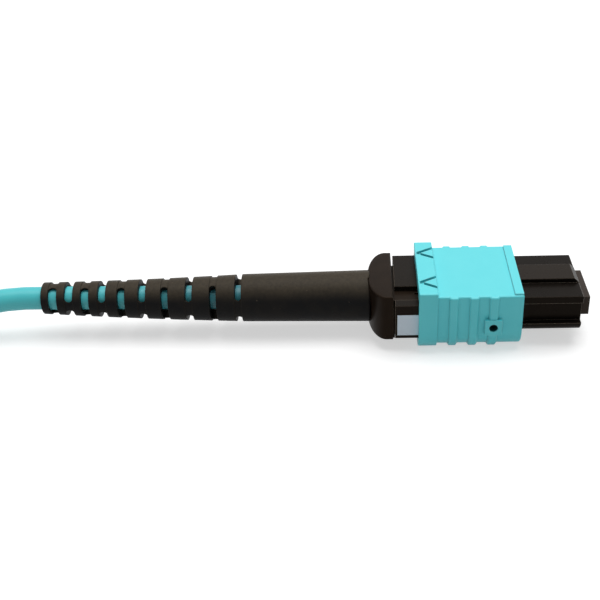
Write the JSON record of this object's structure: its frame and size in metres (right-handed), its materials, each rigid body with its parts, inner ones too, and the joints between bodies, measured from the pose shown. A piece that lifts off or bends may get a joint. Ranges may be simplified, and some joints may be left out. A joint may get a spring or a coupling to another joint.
{
  "type": "mpo fibre connector",
  "caption": "Push-pull multi-fibre plug, pinless, with sprung aqua coupling sleeve, slotted boot and round aqua cable folded into a tied hank.",
  "frame": {"origin": "centre of the ferrule's end face", "axes": "+X along the fibres, out towards the mate; +Z the key side; -Y the side with the white mark"},
  "size_m": [0.14, 0.0283, 0.0132],
  "materials": {
    "aqua_plastic": "satin moulded",
    "black_plastic": "fine moulded",
    "ferrule_plastic": "glass-filled, polished end",
    "adhesive": "cured",
    "fibre_coating": "clear coated",
    "boot_rubber": "soft matt",
    "spring_steel": "drawn wire",
    "crimp_metal": "turned",
    "yarn": "bundled filament",
    "white_mark": "ink",
    "cable_jacket": "satin extruded",
    "tie_fabric": "woven hook and loop",
    "end_cap": "heat-shrunk"
  },
  "bodies": {
    "root": {"ferrule_spring": "spring_steel", "inner_housing": "black_plastic", "polarity_mark": "white_mark", "coupling_spring_near": "spring_steel", "coupling_spring_far": "spring_steel", "rear_body": "black_plastic", "crimp_ring": "crimp_metal", "aramid_yarn": "yarn", "cable_jacket_end": "cable_jacket", "boot": "boot_rubber", "cable_run": "cable_jacket", "cable_hank": "cable_jacket", "hank_tie": "tie_fabric", "cable_end_cap": "end_cap"},
    "sleeve": {"outer_housing": "aqua_plastic"},
    "floating_ferrule": {"ferrule": "ferrule_plastic", "ferrule_epoxy": "adhesive", "fibre_ribbon": "fibre_coating", "ferrule_boot": "boot_rubber", "pin_clamp": "black_plastic"}
  },
  "joints": [
    {"name": "sleeve_pull", "type": "slide", "parent": "root", "child": "sleeve", "axis": [-1, 0, 0], "range_m": [0, 0.0015], "stiffness_N_per_m": 1200, "springref_m": -0.0008, "deforming": ["coupling_spring_near", "coupling_spring_far"]},
    {"name": "ferrule_float", "type": "slide", "parent": "root", "child": "floating_ferrule", "axis": [-1, 0, 0], "range_m": [0, 0.0005], "stiffness_N_per_m": 5000, "springref_m": -0.0015, "deforming": ["ferrule_spring"]}
  ]
}
